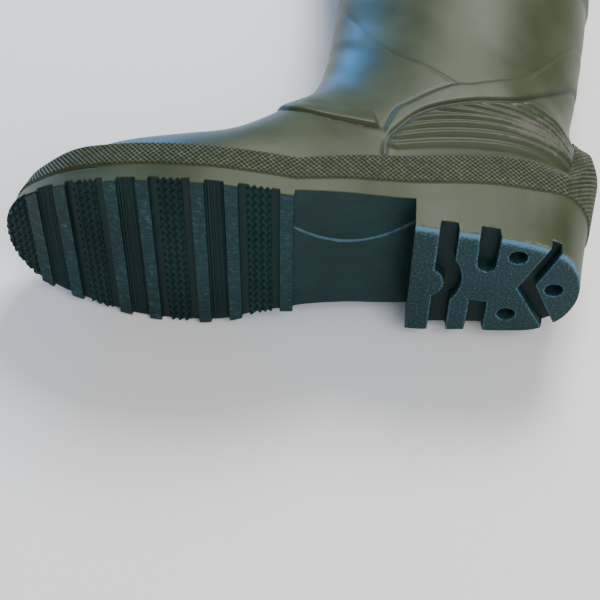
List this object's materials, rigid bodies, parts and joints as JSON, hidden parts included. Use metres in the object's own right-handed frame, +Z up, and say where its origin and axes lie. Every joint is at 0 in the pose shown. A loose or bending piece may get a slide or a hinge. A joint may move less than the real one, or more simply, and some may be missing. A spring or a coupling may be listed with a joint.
{
  "type": "wader boot foot with leg",
  "caption": "Moulded boot foot of a hip wader with a cleated sole and heel, ribbed counter and a slack fabric leg, lying on its inner side.",
  "frame": {"origin": "on the ground, under the middle of the whole piece's box", "axes": "+X from the toe to the heel, +Y from the tread up the leg to the hem, +Z up from the ground, out of the boot's outer side"},
  "size_m": [0.356, 0.68, 0.113],
  "materials": {
    "upper": "smooth moulded, satin",
    "sidewall": "smooth below, diamond texture above, satin",
    "outsole": "cleated, satin with scuffs",
    "insole": "matt felt",
    "leg": "coated woven fabric, matt"
  },
  "bodies": {
    "root": {"upper": "upper", "sidewall": "sidewall", "outsole": "outsole", "insole": "insole", "leg": "leg"}
  },
  "joints": []
}
